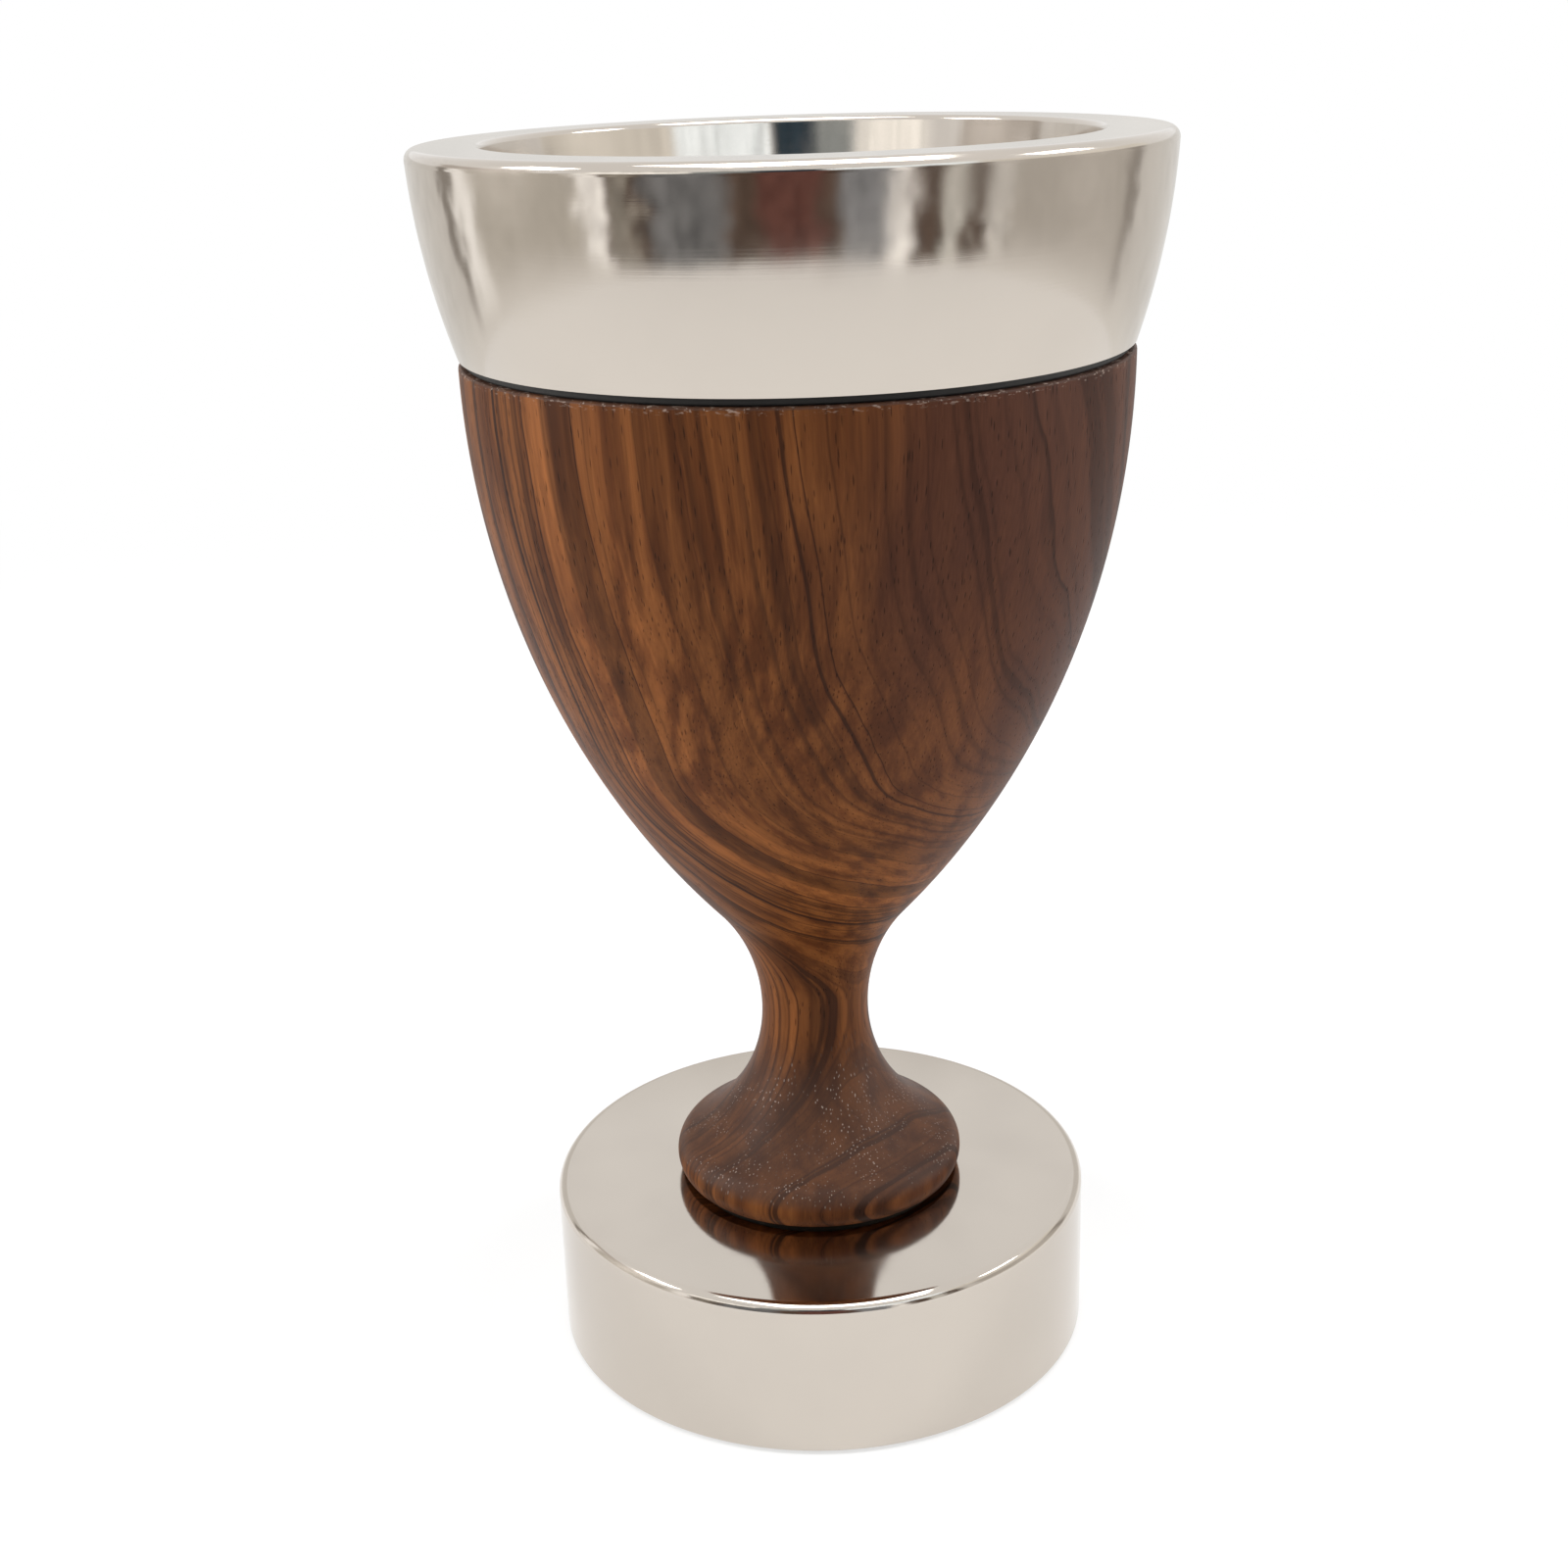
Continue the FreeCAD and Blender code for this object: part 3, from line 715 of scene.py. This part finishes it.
class CHALICE_OT_cup(bpy.types.Operator):
    """Spin the drinking bowl with its brim, and the outer band that carries it"""

    bl_idname = "chalice.cup"
    bl_label = "Cup"

    def execute(self, context):
        cup_metal = nickel_material("nickel_cup", finish().nickel_roughness, finish().nickel_grain)
        place(turned("cup_vessel", self.vessel()), cup_metal, "drinking_bowl")
        place(turned("cup_band", self.band()), cup_metal, "collar_band")
        ring_radius, bottom, top = span("seat_ring")
        size = settings()
        vessel = BowlCurve(size.bowl_wall)
        inner = vessel.point(vessel.angle_at_height(top)).x + size.running_gap
        edge = size.soft_edge
        outline = rounded(
            (inner, bottom, edge), (ring_radius, bottom, edge), (ring_radius, top, edge), (inner, top, edge)
        )
        place(turned("cup_seat_ring", outline), cup_metal, "seat_ring")
        return {"FINISHED"}

    @staticmethod
    def band_face(inset):
        """Centre and ends of the band's crowned face, or of a parallel inside it."""
        size = settings()
        _, low, high = span("collar_band")
        wide, _, _ = span("drinking_bowl")
        narrow, _, _ = span("walnut_body")
        start = Vector((narrow - inset, low))
        end = Vector((wide - inset, high))
        chord = end - start
        outward = Vector((chord.y, -chord.x)).normalized()
        radius = (chord.length_squared / 4 + size.band_crown**2) / (2 * size.band_crown)
        centre = (start + end) / 2 - outward * (radius - size.band_crown)
        return centre, start, end

    def band(self):
        size = settings()
        outer, start, end = self.band_face(0)
        inner, inner_start, inner_end = self.band_face(size.band_wall)
        outline = Outline(*inner_start)
        outline.line(*start)
        outline.arc(outer, end)
        outline.line(*inner_end)
        outline.arc(inner, inner_start)
        return outline

    def vessel(self):
        size = settings()
        _, _, shoulder = self.band_face(0)
        rim_radius, _, rim = span("drinking_bowl")
        outer_round = size.brim_outer_round
        inner_round = size.brim_inner_round
        lean = size.mouth_lean
        inside, outside = BowlCurve(0), BowlCurve(size.bowl_wall)
        first = outside.angle_at_height(outside.spring)
        last = inside.angle_at_height(inside.spring)
        outline = Outline(0, outside.centre.y - outside.half_height)
        outside.draw(outline, -math.pi / 2, first)
        outline.line(outline.at.x + math.tan(lean) * (shoulder.y - outside.spring), shoulder.y)
        outline.line(rim_radius, shoulder.y)
        outline.line(rim_radius, rim - outer_round)
        edge = Vector((rim_radius - outer_round, rim - outer_round))
        outline.ellipse(edge, outer_round, outer_round, 0, math.pi / 2)
        mouth = Vector((size.mouth_radius, rim - inner_round))
        mouth.x += inner_round * (1 - math.sin(lean)) / math.cos(lean)
        outline.line(mouth.x, rim)
        outline.ellipse(mouth, inner_round, inner_round, math.pi / 2, math.pi - lean)
        outline.line(*inside.point(last))
        inside.draw(outline, last, -math.pi / 2)
        return outline


class CHALICE_OT_spigot(bpy.types.Operator):
    """Turn the spigot under the cup, its O-ring and the brass bush that takes it"""

    bl_idname = "chalice.spigot"
    bl_label = "Spigot and bush"

    def execute(self, context):
        size = settings()
        metal = nickel_material("nickel_spigot", 0.22, 0.0)
        flange_radius, bottom, _ = span("cup_spigot")
        _, ring_low, ring_high = span("spigot_o_ring")
        vessel = BowlCurve(size.bowl_wall)
        touch = vessel.angle_at_radius(flange_radius)
        flange_bottom = vessel.centre.y - vessel.half_height - size.spigot_flange
        pin = size.spigot_radius
        groove = pin - size.groove_depth
        edge = size.soft_edge
        outline = Outline(0, bottom)
        outline.line(pin - size.spigot_chamfer, bottom)
        outline.line(pin, bottom + size.spigot_chamfer)
        outline.line(pin, ring_low - size.groove_gap)
        outline.line(groove, ring_low - size.groove_gap)
        outline.line(groove, ring_high + size.groove_gap)
        outline.line(pin, ring_high + size.groove_gap)
        outline.line(pin, flange_bottom)
        outline.line(flange_radius - edge, flange_bottom)
        corner = Vector((flange_radius - edge, flange_bottom + edge))
        outline.arc(corner, corner + Vector((edge, 0)))
        outline.line(*vessel.point(touch))
        vessel.draw(outline, touch, -math.pi / 2)
        place(turned("cup_spigot_pin", outline), metal, "cup_spigot")

        section = (ring_high - ring_low) / 2
        middle = Vector((pin - section, (ring_high + ring_low) / 2))
        ring = Outline(middle.x + section, middle.y)
        ring.ellipse(middle, section, section, 0, 2 * math.pi)
        place(turned("cup_o_ring", ring), rubber_material(), "spigot_o_ring")

        flange, low, high = span("socket_bush")
        bore = pin + size.running_gap
        body = bore + size.bush_wall
        thread = size.rod_radius + size.running_gap
        floor = low + size.bush_thread
        seat = high - size.bush_flange
        bush = rounded(
            (thread, low, edge),
            (body, low, 3 * edge),
            (body, seat, 0),
            (flange, seat, edge),
            (flange, high, 3 * edge),
            (bore + size.spigot_chamfer, high, edge),
            (bore, high - size.spigot_chamfer, edge),
            (bore, floor, 0),
            (thread, floor, edge),
        )
        brass = machined_material("brass_turned", finish().brass, 0.22, 6.0)
        place(turned("brass_bush", bush), brass, "socket_bush")
        return {"FINISHED"}


class CHALICE_OT_washers(bpy.types.Operator):
    """Make the two black rubber rings that show as the joint lines of the walnut, their black partly
    standing in for the shadow in those gaps
    """

    bl_idname = "chalice.washers"
    bl_label = "Rubber rings"

    def execute(self, context):
        size = settings()
        rubber = rubber_material()
        vessel = BowlCurve(size.bowl_wall)
        _, _, gasket_top = span("seat_gasket")
        bowl = vessel.point(vessel.angle_at_height(gasket_top)).x
        bores = {"seat_gasket": bowl + size.gasket_gap, "foot_washer": size.walnut_bore}
        for node, bore in bores.items():
            radius, low, high = span(node)
            edge = (high - low) / 3
            ring = rounded((bore, low, edge), (radius, low, edge), (radius, high, edge), (bore, high, edge))
            # Real rubber rings whose near-black is partly painted shadow in the joint gaps.
            place(turned(node + "_ring", ring), rubber, node)
        return {"FINISHED"}


class CHALICE_OT_base(bpy.types.Operator):
    """Turn the hollow nickel base with its screw bosses, and cut the felt pad"""

    bl_idname = "chalice.base"
    bl_label = "Base"

    def execute(self, context):
        size = settings()
        metal = nickel_material("nickel_base", finish().nickel_roughness * 0.8, finish().nickel_grain)
        radius, low, high = span("base_shell")
        inner = radius - size.base_wall
        rod_hole = size.rod_radius + size.rod_gap
        shell = rounded(
            (rod_hole, high - size.base_wall, size.soft_edge),
            (inner, high - size.base_wall, 0),
            (inner, low, size.soft_edge),
            (radius, low, size.base_lip),
            (radius, high, size.base_edge),
            (rod_hole, high, size.soft_edge),
        )
        place(turned("base_turning", shell), metal, "base_shell")
        self.bosses(metal)
        self.pad()
        return {"FINISHED"}

    def bosses(self, metal):
        """Three blind bosses inside the base, which the plate screws enter."""
        size = settings()
        _, _, plate_top = span("base_plate")
        _, _, high = span("base_shell")
        ceiling = high - size.base_wall
        wall = size.boss_bore + size.boss_wall
        screws = frame["nodes"]["base_plate_screws"]
        for number, (x, y) in enumerate(screw_axes(screws)):
            boss = Outline(0, plate_top + size.boss_depth)
            boss.line(size.boss_bore, plate_top + size.boss_depth)
            boss.line(size.boss_bore, plate_top)
            boss.line(wall, plate_top)
            boss.line(wall, ceiling)
            boss.line(0, ceiling)
            join_node(turned(f"base_boss_{number + 1}", boss, (x, y)), metal, "base_shell")

    def pad(self):
        radius, low, high = span("felt_pad")
        thick = high - low
        worn, crisp = thick * 0.4, thick * 0.15
        outline = Outline(0, low)
        outline.line(radius - worn, low)
        outline.arc(Vector((radius - worn, low + worn)), Vector((radius, low + worn)))
        outline.line(radius, high - crisp)
        outline.arc(Vector((radius - crisp, high - crisp)), Vector((radius - crisp, high)))
        outline.line(0, high)
        felt = place(turned("felt_disc", outline), felt_material(), "felt_pad")


def screw_axes(screws):
    """Centres of the base plate screws, from where their vertices cluster."""
    clusters = []
    for vertex in screws.data.vertices:
        for cluster in clusters:
            if (vertex.co.xy - cluster[0].xy).length < SCREW_SPREAD:
                cluster.append(vertex.co)
                break
        else:
            clusters.append([vertex.co])
    centres = []
    for cluster in clusters:
        xs = [p.x for p in cluster]
        ys = [p.y for p in cluster]
        centres.append(((min(xs) + max(xs)) / 2, (min(ys) + max(ys)) / 2))
    return centres


class CHALICE_OT_fastenings(bpy.types.Operator):
    """Give the rod, nut, washers, screws, plate and ballast their finishes"""

    bl_idname = "chalice.fastenings"
    bl_label = "Fastenings and ballast"

    def execute(self, context):
        zinc = machined_material("steel_zinc", finish().steel, 0.28, 5.0)
        rolled = machined_material("steel_plate", finish().steel, 0.42, 1.5)
        finishes = {
            "tie_rod": zinc,
            "rod_nut": zinc,
            "rod_washer": zinc,
            "spring_washer": zinc,
            "base_plate_screws": zinc,
            "base_plate": rolled,
            "ballast_disc": iron_material(),
        }
        for node, material in finishes.items():
            data = frame["nodes"][node].data
            data.materials.clear()
            data.materials.append(material)
        return {"FINISHED"}


# ---- stage --------------------------------------------------------------------------------------
class CHALICE_OT_stage(bpy.types.Operator):
    """Set the floor, the light and the camera"""

    bl_idname = "chalice.stage"
    bl_label = "Stage"

    def execute(self, context):
        context.scene.view_settings.view_transform = "Standard"
        self.camera(context)
        self.floor(context)
        self.world(context)
        self.lamps(context)
        self.wall(context)
        return {"FINISHED"}

    @staticmethod
    def camera(context):
        stage = context.scene.chalice_stage
        data = bpy.data.cameras.new("camera")
        data.lens = stage.lens
        data.sensor_width = 36
        data.clip_start = 0.01
        camera = bpy.data.objects.new("camera", data)
        context.scene.collection.objects.link(camera)
        level = Vector((math.sin(-stage.yaw), math.cos(stage.yaw), 0))
        sideways = Vector((level.y, -level.x, 0))
        forward = level * math.cos(stage.pitch) - Vector((0, 0, math.sin(stage.pitch)))
        upright = sideways.cross(forward)
        right = sideways * math.cos(stage.roll) - upright * math.sin(stage.roll)
        up = right.cross(forward)
        turn = Matrix((right, up, -forward)).transposed().to_4x4()
        camera.matrix_world = Matrix.Translation((0, -stage.distance, stage.height)) @ turn
        context.scene.camera = camera

    @staticmethod
    def floor(context):
        stage = context.scene.chalice_stage
        low = cad_box[0].z
        reach = stage.floor_radius
        corners = [(-reach, -reach, low), (reach, -reach, low), (reach, reach, low), (-reach, reach, low)]
        mesh = bpy.data.meshes.new("floor")
        mesh.from_pydata(corners, [], [(0, 1, 2, 3)])
        floor = bpy.data.objects.new("floor", mesh)
        context.scene.collection.objects.link(floor)
        shader = new_material("floor_pale")
        here = shader.add("TexCoord", None, None, "Object")
        away = shader.rise(shader.vector("LENGTH", here, output=1), 0.12, 0.75)
        glow = stage.floor_glow + away * (1 - stage.floor_glow)
        paint = shader.add("BsdfDiffuse", None, {"Color": (*stage.floor, 1)})
        white = shader.add("Emission", None, {"Color": (1, 1, 1, 1), "Strength": 1.0})
        both = shader.add("MixShader", None, {0: seen_by_eye(shader) * glow, 1: paint, 2: white})
        shader.add("OutputMaterial", None, {"Surface": both})
        mesh.materials.append(shader.owner)

    @staticmethod
    def world(context):
        """Even light from all round, and white where the camera and the metal look past the floor."""
        world = bpy.data.worlds.new("studio")
        context.scene.world = world
        shader = Shader(world)
        white = seen_by_eye(shader)
        fill = context.scene.chalice_stage.fill
        strength = white + (1 - white) * fill
        background = shader.add("Background", None, {"Color": (1, 1, 1, 1), "Strength": strength})
        shader.add("OutputWorld", None, {"Surface": background})

    @staticmethod
    def lamps(context):
        """Large soft lamps, each aimed at the middle of the chalice: name, place, size, watts."""
        middle = (cad_box[0] + cad_box[1]) / 2
        lamps = (
            ("lamp_top", (0.05, -0.15, 1.15), (0.9, 0.7), 9.0),
            ("lamp_left", (-0.95, -0.05, 0.50), (0.35, 0.9), 8.0),
            ("lamp_right", (0.95, 0.05, 0.45), (0.35, 0.9), 7.0),
        )
        for name, spot, size, watts in lamps:
            data = bpy.data.lights.new(name, "AREA")
            data.shape = "RECTANGLE"
            data.size, data.size_y = size
            data.energy = watts
            lamp = bpy.data.objects.new(name, data)
            context.scene.collection.objects.link(lamp)
            lamp.location = spot
            lamp.rotation_euler = (middle - Vector(spot)).to_track_quat("-Z", "Y").to_euler()
            lamp.visible_camera = False

    @staticmethod
    def wall(context):
        """A round glowing wall, seen only in reflections, whose dark and bright panels are painted
        reflections for the polished metal.
        """
        stage = context.scene.chalice_stage
        low = cad_box[0].z
        count = 96
        verts, faces = [], []
        for i in range(count):
            turn = 2 * math.pi * i / count
            x, y = stage.wall_radius * math.cos(turn), stage.wall_radius * math.sin(turn)
            verts += [(x, y, low), (x, y, low + stage.wall_height)]
            here, onward = 2 * i, 2 * ((i + 1) % count)
            faces.append((here, onward, onward + 1, here + 1))
        mesh = bpy.data.meshes.new("studio_wall")
        mesh.from_pydata(verts, [], faces)
        wall = bpy.data.objects.new("studio_wall", mesh)
        context.scene.collection.objects.link(wall)
        mesh.materials.append(reflection_wall_material())
        wall.visible_camera = False
        wall.visible_diffuse = False
        wall.visible_shadow = False


def seen_by_eye(shader):
    """1 for what the camera sees, also by way of metal or glass, and 0 for what lights the pieces."""
    rays = ("Is Camera Ray", "Is Glossy Ray", "Is Transmission Ray")
    camera, glossy, through = [shader.add("LightPath", None, None, ray) for ray in rays]
    return shader.math("MINIMUM", camera + glossy + through, 1.0)


# Panels on the glowing wall, painted reflections for the metal: bearing from the front, half width, both in
# degrees, then the colour.
LOW_PANELS = (
    (-85, 24, 0.50, 0.48, 0.44),
    (0, 54, 0.10, 0.07, 0.055),
    (88, 26, 0.47, 0.45, 0.42),
    (-29, 11, 0.17, 0.175, 0.185),
    (-47, 4, 0.30, 0.28, 0.25),
    (0, 8, 0.13, 0.058, 0.048),
    (20, 7, 0.25, 0.26, 0.28),
    (-115, 3, 0.27, 0.25, 0.23),
    (112, 3, 0.30, 0.28, 0.26),
    (-106, 4, 1.0, 1.0, 1.0),
    (-57, 4, 1.0, 1.0, 1.0),
    (29, 3, 1.0, 1.0, 1.0),
    (45, 3, 0.65, 0.65, 0.62),
)
HIGH_PANELS = (
    (-97, 22, 0.51, 0.48, 0.45),
    (85, 34, 0.74, 0.72, 0.67),
    (30, 20, 1.05, 1.16, 1.25),
    (-42, 16, 1.1, 1.1, 1.08),
    (-18, 9, 0.28, 0.31, 0.32),
    (-1, 9, 0.02, 0.04, 0.06),
)
PANEL_EDGE = 2  # degrees
LOW_WALL = (0.62, 0.61, 0.59)
HIGH_WALL = (0.77, 0.77, 0.77)
WALL_FOOT = (0.74, 0.73, 0.71)


def hang_panels(shader, wall, bearing, panels):
    """The glow colour of the wall with its panels of painted reflection, each with soft upright edges."""
    for middle, half_width, *tone in panels:
        aside = shader.math("ABSOLUTE", bearing - middle)
        bare = shader.rise(aside, half_width - PANEL_EDGE, half_width + PANEL_EDGE)
        wall = shader.mix(1 - bare, wall, tone)
    return wall


def reflection_wall_material():
    """A glowing wall with panels up to the height of the chalice and others above it, painted reflections
    for the metal.
    """
    shader = new_material("studio_wall_reflection_glow")
    here = shader.add("TexCoord", None, None, "Object")
    x, y, z = shader.parts(here)
    wander = shader.noise(shader.times(here, (1, 1, 3)), 14.0, 4.0, 0.65) - 0.5
    bearing = shader.math("ARCTAN2", x, 0 - y) * (180 / math.pi) + wander * 22
    low = hang_panels(shader, LOW_WALL, bearing, LOW_PANELS)
    high = hang_panels(shader, HIGH_WALL, bearing, HIGH_PANELS)
    paint = shader.mix(shader.rise(z, 0.235, 0.265), low, high)
    paint = shader.mix(shader.rise(z, 0.345, 0.375), paint, HIGH_WALL)
    behind = shader.rise(y, -0.40, -0.15)
    mottle = shader.rise(shader.noise(shader.times(here, (1, 1, 2.5)), 30.0, 5.0, 0.6), 0.34, 0.66)
    paint = shader.shade(paint, 1 + (mottle - 0.5) * (0.90 - behind * 0.80))
    above_floor = shader.rise(z + wander * 0.02, 0.0, 0.010 + behind * 0.055)
    paint = shader.mix(above_floor, WALL_FOOT, paint)
    # The wall glows, brighter than white in its brightest panels: painted reflections and highlights, not a
    # lamp.
    glow = shader.add("Emission", None, {"Color": paint, "Strength": 1.3})
    shader.add("OutputMaterial", None, {"Surface": glow})
    return shader.owner


class CHALICE_PT_panel(bpy.types.Panel):
    """Lists the chalice's steps in the sidebar"""

    bl_idname = "CHALICE_PT_panel"
    bl_label = "Chalice"
    bl_space_type = "VIEW_3D"
    bl_region_type = "UI"
    bl_category = "Chalice"

    def draw(self, context):
        for step in STEPS:
            self.layout.operator(step.bl_idname)


STEPS = (
    CHALICE_OT_walnut,
    CHALICE_OT_cup,
    CHALICE_OT_spigot,
    CHALICE_OT_washers,
    CHALICE_OT_base,
    CHALICE_OT_fastenings,
    CHALICE_OT_stage,
)
GROUPS = {
    "chalice_sizes": ChaliceSizes,
    "chalice_finish": ChaliceFinish,
    "chalice_stage": ChaliceStage,
}
CLASSES = (*GROUPS.values(), *STEPS, CHALICE_PT_panel)


def register():
    for cls in CLASSES:
        bpy.utils.register_class(cls)
    for name, group in GROUPS.items():
        setattr(bpy.types.Scene, name, bpy.props.PointerProperty(type=group))


def unregister():
    for name in GROUPS:
        delattr(bpy.types.Scene, name)
    for cls in reversed(CLASSES):
        bpy.utils.unregister_class(cls)


def main():
    register()
    for step in STEPS:
        group, name = step.bl_idname.split(".")
        getattr(getattr(bpy.ops, group), name)()


if __name__ == "__main__":
    main()
